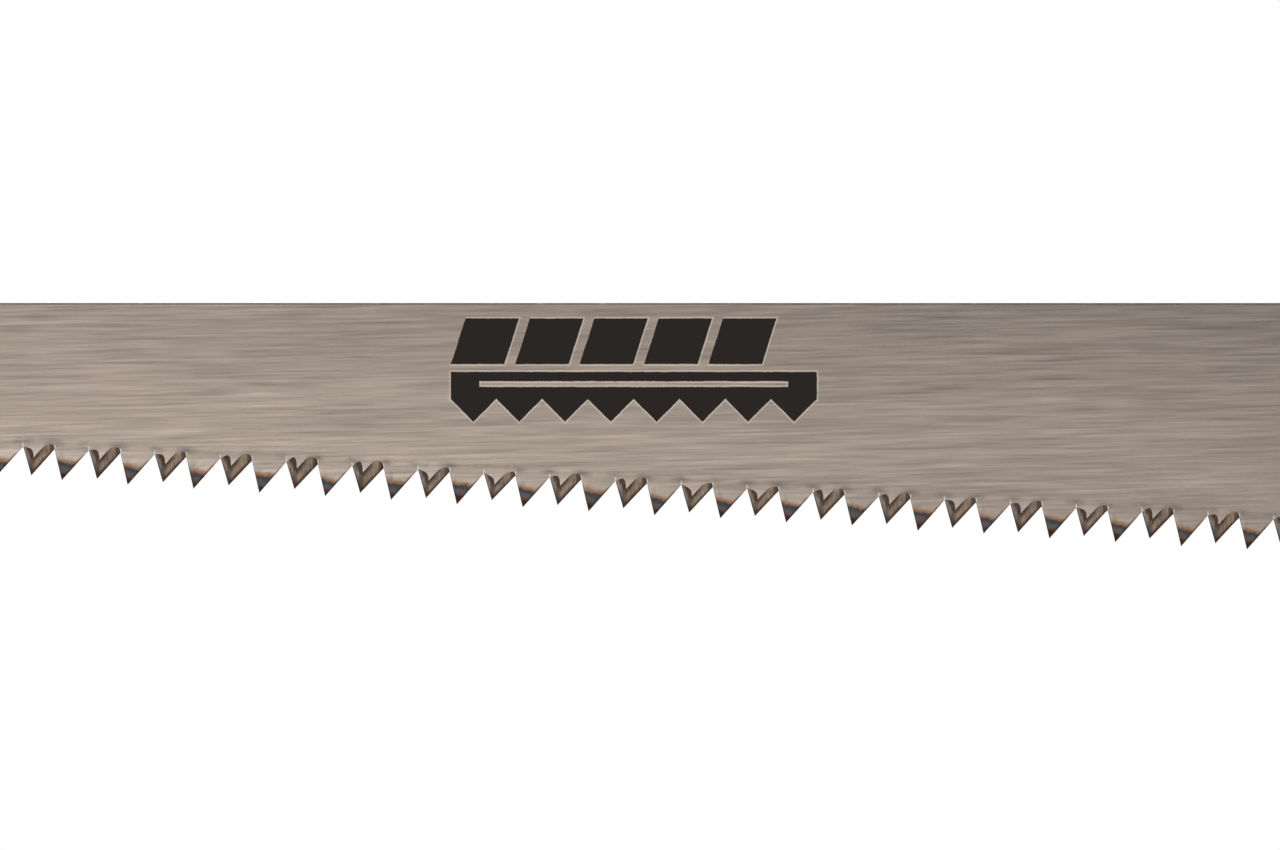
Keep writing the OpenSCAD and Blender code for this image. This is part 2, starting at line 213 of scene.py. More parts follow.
class Nodes:
    """Adds nodes to a tree. All of them are made by node()."""

    def __init__(self, tree):
        self.tree = tree

    def node(self, kind, settings, inputs, output=0):
        """Makes a node, sets its own settings, such as a ramp's stops, and then gives its sockets
        values or links."""
        made = self.tree.nodes.new("ShaderNode" + kind)
        for key, value in settings.items():
            if key == "stops":
                elements = made.color_ramp.elements
                while len(elements) < len(value):
                    elements.new(1.0)
                for element, (position, tint) in zip(elements, value):
                    element.position, element.color = position, (*tint, 1)
            else:
                setattr(made, key, value)
        for key, value in inputs.items():
            socket = made.inputs[key]
            if isinstance(value, Wire):
                self.tree.links.new(value.socket, socket)
            else:
                socket.default_value = (*value, 1) if socket.type == "RGBA" else value
        return Wire(self, made.outputs[output])


class Finish(Nodes):
    """A material being written. Its keywords are the surface's even values, and dress() feeds in
    those that vary."""

    def __init__(self, name, **surface):
        self.material = bpy.data.materials.new(name)
        self.material.use_nodes = True
        super().__init__(self.material.node_tree)
        self.bsdf = self.tree.nodes["Principled BSDF"]
        for key, value in surface.items():
            self.bsdf.inputs[key.replace("_", " ")].default_value = value
        self.place = self.node("TexCoord", {}, {}, "Object")
        self.uv = self.node("TexCoord", {}, {}, "UV")

    def stretched(self, scale, place=None):
        """A place scaled along its axes."""
        return self.node("Mapping", {}, {"Vector": place or self.place, "Scale": scale})

    def noise(self, scale, detail, rough, place=None):
        return self.node("TexNoise", {}, {"Vector": place or self.place, "Scale": scale,
                                          "Detail": detail, "Roughness": rough})

    def ramp(self, value, *stops):
        """A colour ramp through (position, colour) stops."""
        return self.node("ValToRGB", {"stops": stops}, {0: value})

    def mix(self, factor, one, two, blend="MIX"):
        """Two colours mixed. A Mix node's colours are its sockets 6 and 7 and its output 2."""
        return self.node("Mix", {"data_type": "RGBA", "blend_type": blend},
                         {0: factor, 6: one, 7: two}, 2)

    def attribute(self, name):
        return self.node("Attribute", {"attribute_name": name}, {}, "Fac")

    def bump(self, height, distance, strength):
        return self.node("Bump", {}, {"Height": height, "Distance": distance, "Strength": strength})

    def dress(self, **inputs):
        """Feeds varying values into the surface and returns the material."""
        for key, wire in inputs.items():
            self.tree.links.new(wire.socket, self.bsdf.inputs[key.replace("_", " ")])
        return self.material


def scaled(tint, factor, more=0):
    """A colour times a factor, plus more, with no part over 1."""
    return tuple(min(1, c * factor + more) for c in tint)


# ---- materials ----


def printed(finish):
    """How far each point lies inside the print, in metres, and below 0 outside. The print is a row of
    slanted blocks over a bar with a saw-tooth lower edge, as the least or the most of distances to
    its straight sides, worn at the edges by noise."""
    x, y, z = finish.place.parts()
    left, right = -0.1359, -0.1006
    pitch, gap, lean, count = 0.0062, 0.001, 0.32, 5
    row_top, row_foot, bar_top, bar_foot = 0.00145, 0.0059, 0.0066, 0.01146
    tooth_pitch, tooth_high, edge_slope = 0.00441, 0.0022, 0.7
    slit_at, slit_half, slit_end = 0.0078, 0.00025, 0.0028
    along = x - left - (z + row_foot) * lean
    phase = (along * (1 / pitch)).fract() * pitch
    block = phase.least(pitch - gap - phase).least(along).least(pitch * count - gap / 2 - along)
    row = block.least(z * -1 - row_top).least(z + row_foot)
    tooth = (((x - left) * (1 / tooth_pitch)).fract() - 0.5).size() * 2
    lower = (z + bar_foot - tooth * tooth_high) * edge_slope
    bar = lower.least(z * -1 - bar_top).least(x - left).least(right - x)
    slit = ((z + slit_at).size() - slit_half).most(left + slit_end - x).most(x - right + slit_end)
    worn = finish.noise(5200, 3, 0.6).swing(0.00009) + finish.noise(900, 1, 0.5).swing(0.00008)
    other_side = y.between(-0.0001, 0.0001)
    return row.most(bar.least(slit)) + worn + other_side * -0.01


def streaks(finish):
    """Brushing along the blade: noises drawn out 20 to 60 times along x, a little slanted."""
    slant = finish.node("Mapping", {}, {"Vector": finish.place, "Rotation": (0, math.radians(1.2), 0)})
    return [finish.noise(1.0, detail, rough, finish.stretched(scale, slant)) for detail, rough, scale in (
        (4, 0.65, (46, 900, 2000)), (2, 0.5, (150, 900, 4600)), (2, 0.5, (14, 200, 320)))]


def blade_steel():
    """Brushed face of the blade with its print, painted shade over the gullets, painted highlights in
    the gullets, and temper colours towards the tips, which follow the tip_share attribute."""
    colours = bpy.context.scene.saw_colours
    finish = Finish("blade_steel", Metallic=1.0, Roughness=0.4, Specular_IOR_Level=0.12)
    long_lines, short_lines, broad = streaks(finish)
    lines = long_lines.swing(0.68) + short_lines.swing(1.05) + broad.swing(0.22)
    base = tuple(colours.steel)
    face = finish.ramp(lines * 0.95 + 0.5, (0.0, scaled(base, 0.60)), (0.34, scaled(base, 0.88)),
                       (0.55, base), (0.78, scaled(base, 1.14)), (1.0, scaled(base, 1.5)))
    # Painted shade: darker towards the back and the handle, a tone that stands in for how the light falls
    # along the blade
    x, _, z = finish.place.parts()
    shade_tone = 1 - (z * 75 + 1).most(0) * 0.18 - x.between(-0.2, -0.04) * 0.34
    face = finish.mix(1.0, face, finish.node("CombineXYZ", {}, {0: shade_tone, 1: shade_tone, 2: shade_tone}), "MULTIPLY")
    # Painted shade: grey patches over the gullets, where the set teeth bend
    share, gullet_gap = finish.attribute("tip_share"), finish.attribute("gullet_gap")
    near = 1 - gullet_gap * 0.8
    patches = finish.noise(1.0, 2, 0.6, finish.stretched((420, 400, 900))).between(0.36, 0.54)
    gullet_shade = (1 - (share + 0.2).size() * 5.5).most(0) * near.most(0) * patches
    face = finish.mix(gullet_shade * 0.95, face, scaled(base, 0.40))
    # Temper colours, from straw through brown and blue to a dark tip
    wander = finish.noise(620, 3, 0.6).swing(0.26) + finish.noise(2600, 2, 0.6).swing(0.14)
    heat = finish.attribute("temper") + wander
    tint = finish.ramp(
        heat, (0.0, base), (0.28, scaled(base, 0.8)), (0.38, (0.37, 0.26, 0.185)),
        (0.46, (0.29, 0.155, 0.085)), (0.53, (0.085, 0.060, 0.056)), (0.60, (0.065, 0.078, 0.094)),
        (0.70, (0.120, 0.115, 0.122)), (0.80, (0.150, 0.100, 0.075)), (0.93, (0.055, 0.030, 0.020)))
    face = finish.mix(heat.between(0.26, 0.38), face, tint)
    # Dark outline of the ground faces, and a painted highlight: bright nibs in the gullets
    inward = finish.uv.parts()[1]
    outline = (1 - inward.between(0.05, 0.24)) * share.between(0.06, 0.3)
    face = finish.mix(outline * 0.85, face, (0.042, 0.028, 0.022))
    gullet_glint = (1 - gullet_gap * 9).most(0) * (1 - (share + 0.06).size() * 9).most(0)
    face = finish.mix(gullet_glint.least(0.8), face, (0.90, 0.87, 0.84))
    # Print with a pale rim
    inside = printed(finish)
    rim = 1 - (inside + 0.00005).size().between(0.00004, 0.00011)
    face = finish.mix(rim * 0.6, face, (0.72, 0.62, 0.52))
    ink = inside.between(-0.00001, 0.00004)
    face = finish.mix(ink, face, tuple(colours.ink))
    rough = 0.36 + short_lines.swing(0.18) + ink * 0.22
    height = long_lines * 0.6 + short_lines * 0.4 + ink * 0.35
    return finish.dress(Base_Color=face, Roughness=rough, Metallic=1 - ink,
                        Normal=finish.bump(height, 0.00003, 0.55))


def ground_steel():
    """Faces ground on the teeth: tan to brown, with grinding lines square to the edge, painted shade
    where the wheel ran out, and a darker, painted-shade copy on the leading side. The UV map's u
    runs along the edge from the tip, below 0 on the leading edge, and v from the edge inwards."""
    finish = Finish("ground_steel", Metallic=1.0, Roughness=0.38)
    along, inward, _ = finish.uv.parts()
    lines = finish.noise(1.0, 3, 0.6, finish.stretched((9.0, 0.8, 1), finish.uv))
    shade = lines * 0.55 + finish.noise(900, 3, 0.6) * 0.45
    tan = finish.ramp(shade, (0.30, (0.085, 0.060, 0.044)), (0.45, (0.190, 0.138, 0.100)),
                      (0.60, (0.30, 0.228, 0.170)), (0.75, (0.50, 0.42, 0.34)))
    brown = finish.ramp(shade, (0.30, (0.075, 0.055, 0.044)), (0.50, (0.185, 0.145, 0.118)),
                        (0.70, (0.34, 0.28, 0.235)))
    # Painted shade: the leading faces take the darker brown copy of the ground steel, the trailing faces
    # the tan one
    trailing = along.above(0)
    face = finish.mix(trailing, brown, tan)
    reach = along.size()
    # Painted shade: darker at the top end of each ground face, where the wheel ran out and the face turns
    # steeper
    cap = trailing * reach.between(2.55, 2.85) + (1 - trailing) * reach.between(2.25, 2.5) * 0.7
    face = finish.mix(cap * 0.85, face, (0.060, 0.042, 0.032))
    ridge = (1 - reach.between(1.1, 2.1)) * inward.between(0.55, 0.9)
    tip = 1 - reach.between(0.1, 0.6)
    face = finish.mix((ridge + tip * 0.6).least(0.85), face, (0.035, 0.022, 0.017))
    rim = 1 - inward.between(0.12, 0.34)
    face = finish.mix(rim * 0.92, face, (0.036, 0.022, 0.017))
    return finish.dress(Base_Color=face, Roughness=0.3 + lines * 0.2,
                        Normal=finish.bump(lines, 0.00002, 0.5))


def edge_steel():
    """The blade's back and tooth edges: dark, with light flecks of burr."""
    finish = Finish("edge_steel", Metallic=1.0, Roughness=0.42)
    flecks = finish.noise(900, 3, 0.7)
    face = finish.ramp(flecks, (0.35, (0.055, 0.042, 0.035)), (0.60, (0.12, 0.098, 0.083)),
                       (0.80, (0.42, 0.37, 0.33)))
    return finish.dress(Base_Color=face, Roughness=0.34 + flecks * 0.25)


def moulded(name, base, rough, grain, scuff, coat=0.0, shine=0.45, stipple=0):
    """Moulded plastic: fine spark-eroded grain, faint cloudiness, and rubbed spots that are paler
    and smoother. A stipple adds raised dots, so many to the metre."""
    finish = Finish(name, Specular_IOR_Level=shine, Coat_Weight=coat, Coat_Roughness=0.18)
    mottle = finish.noise(900, 2, 0.5)
    rub = finish.noise(1.0, 4, 0.65, finish.stretched((160, 220, 90))).between(0.60, 0.74)
    face = finish.ramp(finish.noise(38, 3, 0.5), (0.30, scaled(base, 0.86)), (0.70, scaled(base, 1.10)))
    face = finish.mix(rub * scuff, face, scaled(base, 1.25, 0.03))
    height, depth = finish.noise(2600, 2, 0.6) * 0.55 + mottle * 0.45, 0.00006
    if stipple:
        cells = finish.node("TexVoronoi", {}, {"Vector": finish.place, "Scale": stipple})
        height, depth = height * 0.4 + 1 - cells.between(0.0, 0.55), 0.00012
    return finish.dress(Base_Color=face, Roughness=rough + mottle.swing(0.16) - rub * 0.08,
                        Normal=finish.bump(height, depth, grain))


def plated(name, base, rough, patina):
    """Plated or turned metal: fine grain, cloudy patina and small stains."""
    finish = Finish(name, Metallic=1.0)
    cloud = finish.noise(130, 4, 0.6)
    spots = finish.noise(700, 3, 0.6).between(0.60, 0.72)
    face = finish.mix(spots * 0.35, finish.ramp(cloud, (0.32, patina), (0.66, base)), scaled(base, 0.45))
    return finish.dress(Base_Color=face, Roughness=rough + cloud.swing(0.2) + spots * 0.15,
                        Normal=finish.bump(finish.noise(3200, 2, 0.6), 0.00003, 0.35))


FINISHES = {}


def finishes():
    """Makes each material once."""
    if FINISHES:
        return FINISHES
    colours = bpy.context.scene.saw_colours
    FINISHES.update({
        "blade_steel": blade_steel(),
        "ground_steel": ground_steel(),
        "edge_steel": edge_steel(),
        "red_plastic": moulded("red_plastic", tuple(colours.shell), 0.36, 0.35, 0.18, 0.12),
        "soft_grip": moulded("soft_grip", tuple(colours.grip), 0.58, 0.9, 0.25, shine=0.3,
                              stipple=850),
        "black_plastic": moulded("black_plastic", (0.013, 0.013, 0.014), 0.38, 0.55, 0.25, shine=0.35),
        "zinc_steel": plated("zinc_steel", (0.66, 0.67, 0.69), 0.24, (0.55, 0.55, 0.54)),
        "spring_steel": plated("spring_steel", (0.20, 0.205, 0.225), 0.34, (0.13, 0.13, 0.145)),
        "brass": plated("brass", (0.72, 0.50, 0.20), 0.26, (0.56, 0.37, 0.15)),
    })
    return FINISHES


# ---- mesh helpers ----


def grid_faces(rows, columns, closed_rows=False, closed_columns=False):
    """Quads of a grid of points that are numbered row by row, with either way joined up or not."""
    r = np.arange(rows if closed_rows else rows - 1)
    c = np.arange(columns if closed_columns else columns - 1)
    r, c = np.meshgrid(r, c, indexing="ij")
    below, right = (r + 1) % rows, (c + 1) % columns
    return np.stack([r * columns + c, r * columns + right, below * columns + right,
                     below * columns + c], -1).reshape(-1, 4)


def new_mesh(name, points, faces, values=None, uv=None, slots=None):
    """A mesh from points in millimetres, with optional point values, UV points and face slots."""
    mesh = bpy.data.meshes.new(name)
    mesh.from_pydata((np.asarray(points, float) * MM).tolist(), [],
                     faces.tolist() if isinstance(faces, np.ndarray) else faces)
    for key, data in (values or {}).items():
        mesh.attributes.new(key, "FLOAT", "POINT").data.foreach_set("value", np.ravel(data))
    if uv is not None:
        corners = np.empty(len(mesh.loops), int)
        mesh.loops.foreach_get("vertex_index", corners)
        mesh.uv_layers.new(name="UVMap").data.foreach_set("uv", np.asarray(uv)[corners].ravel())
    if slots is not None:
        mesh.polygons.foreach_set("material_index", slots)
    return mesh


def tidy_mesh(mesh, merge=1e-7, outward=True):
    """Merges doubles, drops faces without area, turns a closed mesh's faces outwards and returns it."""
    work = bmesh.new()
    work.from_mesh(mesh)
    bmesh.ops.remove_doubles(work, verts=work.verts, dist=merge)
    bmesh.ops.dissolve_degenerate(work, dist=1e-8, edges=work.edges)
    bmesh.ops.delete(work, geom=[e for e in work.edges if not e.link_faces], context="EDGES")
    bmesh.ops.delete(work, geom=[v for v in work.verts if not v.link_faces], context="VERTS")
    if outward:
        bmesh.ops.recalc_face_normals(work, faces=work.faces)
    work.to_mesh(mesh)
    work.free()
    return mesh


def linked(name, data):
    """A new object in the scene."""
    made = bpy.data.objects.new(name, data)
    bpy.context.scene.collection.objects.link(made)
    return made


def piece(name, mesh, body, node, *materials, sharp=SHARP):
    """Puts a mesh in the scene as a finished piece that rides on a body and stands for a CAD node.
    Its materials go into the mesh's slots in the order given."""
    for material in materials:
        mesh.materials.append(finishes()[material])
    mesh.shade_smooth()
    mesh.set_sharp_from_angle(angle=sharp)
    made = linked(name, mesh)
    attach(made, body)
    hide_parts(node)
    return made


def carve(mesh, cutters, operation="DIFFERENCE"):
    """Cuts closed meshes out of a mesh, or joins them to it, one after another."""
    target = linked("carved", mesh)
    for cutter in cutters:
        tool = linked("cutter", cutter)
        change = target.modifiers.new("cut", "BOOLEAN")
        change.object, change.operation, change.solver = tool, operation, "EXACT"
        bpy.context.view_layer.update()
        done = bpy.data.meshes.new_from_object(
            target.evaluated_get(bpy.context.evaluated_depsgraph_get()))
        target.modifiers.clear()
        target.data = done
        bpy.data.objects.remove(tool)
    result = target.data
    bpy.data.objects.remove(target)
    return result


def rounded_corners(profile, steps=5):
    """A closed profile of (radius, height, corner radius) with each corner swept by a quadratic
    curve that leaves and reaches the sides at the corner radius from the corner."""
    p = np.array(profile, float)
    before, after = np.roll(p, 1, 0), np.roll(p, -1, 0)

    def towards(other):
        way = other[:, :2] - p[:, :2]
        length = np.linalg.norm(way, axis=1, keepdims=True)
        return p[:, :2] + way / np.maximum(length, 1e-9) * np.minimum(p[:, 2:3], length * 0.49)

    start, end = towards(before)[:, None], towards(after)[:, None]
    u = np.linspace(0, 1, steps)[None, :, None]
    return ((1 - u) ** 2 * start + 2 * u * (1 - u) * p[:, None, :2] + u ** 2 * end).reshape(-1, 2)


def turned(name, profile, centre=(BOLT_X, 0, BOLT_Z), steps=96, shape=None, axis=(0, 1, 0)):
    """A closed profile of (radius, height, corner radius) carried round an axis through centre,
    which is the clamp bolt's unless another is given. shape(radius, height, angle) may change the
    radius."""
    ring = rounded_corners(profile)
    angle = np.linspace(0, 2 * math.pi, steps, endpoint=False)[None, :]
    radius = np.repeat(ring[:, :1], steps, 1)
    height = np.repeat(ring[:, 1:], steps, 1)
    if shape:
        radius = shape(radius, height, angle)
    axis = Vector(axis).normalized()
    across = axis.orthogonal().normalized()
    up = axis.cross(across)
    points = (np.array(centre)[None, None]
              + radius[..., None] * (np.cos(angle)[..., None] * np.array(across)
                                     + np.sin(angle)[..., None] * np.array(up))
              + height[..., None] * np.array(axis))
    return tidy_mesh(new_mesh(name, points.reshape(-1, 3), grid_faces(len(ring), steps, True, True)))


def plug(x, z, low, high, radius, steps=72):
    """A closed cylinder along Y, for carving."""
    return turned("plug", [(0, low, 0), (radius, low, 0), (radius, high, 0), (0, high, 0)],
                  (x, 0, z), steps)


def block(low, high):
    """A closed box between two corners, for carving."""
    x, y, z = np.meshgrid(*[(a, b) for a, b in zip(low, high)], indexing="ij")
    faces = [[0, 1, 3, 2], [4, 6, 7, 5], [0, 4, 5, 1], [2, 3, 7, 6], [0, 2, 6, 4], [1, 5, 7, 3]]
    return tidy_mesh(new_mesh("block", np.stack([x, y, z], -1).reshape(-1, 3), faces))


def refined(node, body, material, bevel):
    """A copy of a CAD node with its doubles merged, flat faces joined and edges broken by a bevel."""
    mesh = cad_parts[node].data.copy()
    mesh.materials.clear()
    work = bmesh.new()
    work.from_mesh(mesh)
    bmesh.ops.remove_doubles(work, verts=work.verts, dist=2e-7)
    bmesh.ops.dissolve_limit(work, angle_limit=math.radians(1), verts=work.verts, edges=work.edges)
    work.to_mesh(mesh)
    work.free()
    change = piece(node + "_finished", mesh, body, node, material).modifiers.new("edges", "BEVEL")
    change.width, change.segments, change.harden_normals = bevel * MM, 2, False
    change.limit_method, change.angle_limit = "ANGLE", math.radians(40)


# ---- blade ----


def eased(count):
    """Numbers from 0 to 1 that lie closer together at both ends, on a cosine."""
    return (1 - np.cos(np.linspace(0, math.pi, count))) / 2


def dome(v):
    """A quarter circle that rises from 0 at 0 to 1 at 1, and stays there."""
    return np.sqrt(1 - (1 - np.clip(v, 0, 1)) ** 2)


def tooth_template(lead_run, run, lead_depth, depth, end_depth, facets):
    """Columns across one tooth, from its leading gullet at 0 to its trailing gullet at run.
    Returns x, the edge's z, the z of the ground faces' inner border, a fade that is 0 at both
    gullets, the distance along the edge from the tip, below 0 on the leading edge, and x from the
    tip as a share of the run. The border is an arch over each ground face. The arches meet at the
    point that lies a facet's width inside both edges."""
    lead_rise, trail_rise, blend, least_high = 0.06, 0.48, 0.12, 0.02
    lead_square, lead_round, lead_end, trail_end, fade_end = 7, 0.4, 0.16, 0.2, 0.3
    tip = np.array([lead_run, -depth])
    start, end = np.array([0, -lead_depth]), np.array([run, -end_depth])
    lead_long, trail_long = np.linalg.norm(start - tip), np.linalg.norm(end - tip)
    up_lead, up_trail = (start - tip) / lead_long, (end - tip) / trail_long
    inward = np.array([[up_lead[1], -up_lead[0]], [-up_trail[1], up_trail[0]]])
    meet = tip + np.linalg.solve(inward, facets)
    lead_x = eased(11) * meet[0]
    lead_x[np.argmin(abs(lead_x[1:-1] - tip[0])) + 1] = tip[0]
    x = np.concatenate([lead_x, (meet[0] + (run - meet[0]) * eased(13))[1:]])
    corners = (0, tip[0], run)
    edge = np.interp(x, corners, (start[1], tip[1], end[1]))
    s = np.clip(x / meet[0], 0, 1)
    lead_arch = meet[1] + (start[1] + lead_rise - meet[1]) * (1 - s ** lead_square) ** lead_round
    lead_arch = edge + (lead_arch - edge) * dome(s / lead_end)
    line = meet[1] + (end[1] - tip[1]) / (run - tip[0]) * (x - meet[0])
    top = end[1] + trail_rise * dome((run - x) / trail_end)
    trail_arch = -blend * np.log(np.exp(-line / blend) + np.exp(-top / blend))
    border = np.maximum(np.where(x <= meet[0], lead_arch, trail_arch), edge + least_high)
    border[0], border[-1] = edge[0], edge[-1]
    fade = np.clip(np.minimum(x, run - x) / fade_end, 0, 1)
    return x, edge, border, fade, np.interp(x, corners, (-lead_long, 0, trail_long)), (x - tip[0]) / run


def toe_drop(x):
    """How far below its line the back is at x: a quarter ellipse at the toe."""
    share = np.clip((BLADE_LOW[0] + TOE_LONG - x) / TOE_LONG, 0, 1)
    return -TOE_HIGH * (1 - np.sqrt(1 - share ** 2))


def blade_columns(blade):
    """All columns from the toe to the heel: x, top z, edge z, border z, gullet z, fade, side,
    distance along the edge, lean within the tooth, temper and distance to the nearest gullet.
    Side is -1 for a tooth that is ground on the left, 1 on the right and 0 between."""
    run = blade.pair_pitch / MM * math.cos(math.atan(blade.taper))
    pairs, split = blade.pairs, SPLIT * run
    start = TEETH_END - pairs * run
    facets = (blade.lead_facet / MM, blade.trail_facet / MM)
    mid_rise, far_gap = 0.05, 9
    depth_jitter, arch_jitter, temper_jitter = 0.022, 0.08, 0.035
    teeth = (tooth_template(SHORT_TIP * run, split, 0, blade.short_tooth / MM, mid_rise, facets),
             tooth_template(LONG_TIP * run, run - split, mid_rise, blade.long_tooth / MM, 0, facets))

    def gullets(x):
        return -blade.heel_width / MM - blade.taper * x

    draw = np.random.default_rng(4)
    columns = []
    for kind, (x, edge, border, fade, along, lean) in enumerate(teeth):
        jitter = draw.normal(0, 1, (pairs, 3))
        where = start + np.arange(pairs)[:, None] * run + kind * split + x
        low = gullets(where) + edge * (1 + depth_jitter * jitter[:, :1] * fade)
        arch = np.maximum(border - edge, 0) * (1 + arch_jitter * jitter[:, 1:2] * fade)
        columns.append(np.stack(np.broadcast_arrays(
            where, toe_drop(where), low, low + arch, gullets(where), fade, 2 * kind - 1, along, lean,
            temper_jitter * jitter[:, 2:], np.minimum(x, x[-1] - x)), -1)[:, :-1])
    toothed = np.concatenate(columns, 1).reshape(-1, 11)

    def plain(x):
        gullet = gullets(x)
        return np.stack(np.broadcast_arrays(x, toe_drop(x), gullet, gullet, gullet, 0, 0, 0, 0, 0,
                                            far_gap), -1)

    curve = BLADE_LOW[0] + TOE_LONG * (1 - np.cos(np.linspace(0, math.pi / 2, 12)))
    behind = plain(np.array([start + pairs * run, -3.0, -1.5, 0.0]))
    return np.concatenate([plain(curve[curve < start]), toothed, behind])


def blade_side(c, side, blade):
    """One side of the blade as a grid. Rows run from the tooth edge over the ground face to its
    border, up past the gullets, and to the back. The ground face is a ramp that takes the
    thickness down to a land at the edge. Each tooth leans to its own side by a smooth step."""
    x, top, edge, border, gullet, fade, ground_side, along, lean, temper, gap = c.T
    land, bend_start, bend_depth, tooth_depth, tip_lean = 0.10, 0.35, 2.2, 2.75, 0.22
    ground = ground_side == side
    above = gullet + 1.5

    def rows_between(low, high, shares):
        return low + (high - low) * np.array(shares)[:, None]

    z = np.concatenate([rows_between(edge, border, (0, 0.5, 1)),
                        rows_between(border, above, (0.08, 0.3, 0.6, 1)),
                        rows_between(above, top - CHAMFER, (0.33, 0.66, 1)), top[None]])
    cut = np.zeros_like(z)
    cut[:2] = np.array([[1], [0.5]]) * (2 * HALF_T - land) * np.sqrt(fade) * ground
    reach = np.clip((gullet + bend_start - z) / bend_depth, 0, 1)
    lean_out = blade.tooth_set / MM * ground_side * reach ** 2 * (3 - 2 * reach) * fade
    y = side * (HALF_T - cut) - lean_out
    y[-1] = side * (HALF_T - CHAMFER)
    share = (gullet - z) / tooth_depth
    heat = np.where(ground_side == -side, share + temper - tip_lean * lean, 0)
    inward = np.ones_like(z)
    inward[:2] = [[0], [0.5]]
    slots = np.zeros((len(z) - 1, len(x) - 1), int)
    slots[-1] = 2
    slots[:2] = ground[:-1] & (fade[:-1] + fade[1:] > 0)
    x, along, gap = (np.broadcast_to(row, z.shape) for row in (x, along, gap))
    return np.stack([x, y, z], -1), share, heat, gap, np.stack([along, inward], -1), slots


def blade_mesh(blade):
    """Two sides joined along the tooth edge, the back, the toe and the heel."""
    c = blade_columns(blade)
    points, share, heat, gap, uv, slots = (
        np.stack(both) for both in zip(*(blade_side(c, side, blade) for side in SIDES.values())))
    rows, columns = share.shape[1:]
    count = rows * columns
    quads = grid_faces(rows, columns)
    numbers = np.arange(count).reshape(rows, columns)
    walls = np.concatenate([np.stack([one[:-1], one[1:], one[1:] + count, one[:-1] + count], -1)
                            for one in (numbers[0], numbers[-1], numbers[:, 0], numbers[:, -1])])
    return tidy_mesh(new_mesh(
        "blade_body", points.reshape(-1, 3), np.concatenate([quads, quads[:, ::-1] + count, walls]),
        {"tip_share": share, "temper": heat, "gullet_gap": gap}, uv.reshape(-1, 2),
        np.concatenate([slots.ravel(), np.full(len(walls), 2)])), 2e-7)


def tang_mesh():
    """The tang: its outline, with an open slot for the clamp bolt, carried across the thickness.
    The slot's closed end is a half circle."""
    half_t, half_h, slot, corner, end = HALF_T - 0.002, 10, 3.3, 3, BLADE_HIGH[0]
    high, low = BOLT_Z + half_h, BOLT_Z - half_h
    a = np.radians(np.linspace(90, 270, 25))
    arc = np.stack([BOLT_X + slot * np.cos(a), BOLT_Z + slot * np.sin(a)], -1)
    outline = np.concatenate([
        [[0, high], [end - corner, high], [end, high - corner], [end, BOLT_Z + slot]], arc,
        [[end, BOLT_Z - slot], [end, low + corner], [end - corner, low], [0, low]]])
    count = len(outline)
    points = np.concatenate([np.insert(outline, 1, y, axis=1) for y in (-half_t, half_t)])
    k = np.arange(count)
    sides = np.stack([k, (k + 1) % count, (k + 1) % count + count, k + count], -1)
    faces = [list(range(count)), list(range(2 * count - 1, count - 1, -1))] + sides.tolist()
    plain = np.ones(2 * count)
    return tidy_mesh(new_mesh("tang", points, faces,
                              {"tip_share": -plain, "temper": 0 * plain, "gullet_gap": plain}))


def joined(one, two):
    """One mesh that holds two, with their point values."""
    work = bmesh.new()
    work.from_mesh(one)
    work.from_mesh(two)
    work.to_mesh(one)
    work.free()
    return one


# ---- handle ----


def spline(p, t):
    """Points on a Catmull-Rom curve through the rows of p, at t in rows."""
    last = len(p) - 1
    k = np.clip(np.floor(t).astype(int), 0, last - 1)
    u = (t - k)[..., None]
    a, b, c, d = (p[np.clip(k + s, 0, last)] for s in (-1, 0, 1, 2))
    return 0.5 * (2 * b + (c - a) * u + (2 * a - 5 * b + 4 * c - d) * u ** 2
                  + (3 * b - a - 3 * c + d) * u ** 3)


def wave(t, height):
    """Four waves on the front of the grip, which fade out at both of its ends."""
    u = np.clip((t - GRIP_FROM) / (GRIP_TO - GRIP_FROM), 0, 1)
    return height * np.sin(math.pi * u) * np.cos(8 * math.pi * u)


def power(v, e):
    """A power that keeps the sign."""
    return np.sign(v) * np.abs(v) ** e


def skin(t, angle, off, side):
    """Points on the handle at station t and angle, 0 at the back and pi at the front. Each section
    is a superellipse around the line between the station's two points, moved out by off."""
    s = spline(STATIONS, t)
    top, low = s[..., 0:2], s[..., 2:4]
    middle, span = (top + low) / 2, top - low
    half = np.linalg.norm(span, axis=-1) / 2
    way = span / (2 * half[..., None])
    e = 2 / s[..., 5]
    front = np.maximum(0, -np.cos(angle))
    height = bpy.context.scene.saw_handle.finger_wave / MM
    along = (half + off + wave(t, height) * front) * power(np.cos(angle), e)
    place = middle + way * along[..., None]
    y = side * (s[..., 4] + off) * power(np.sin(angle), e)
    return np.stack([place[..., 0], y, place[..., 1]], -1)


def even_angles(count):
    """Angles from 0 to pi that lie closer together where a square section turns."""
    u = np.linspace(0, 1, count)
    return math.pi * (u + 0.045 * np.sin(4 * math.pi * u))


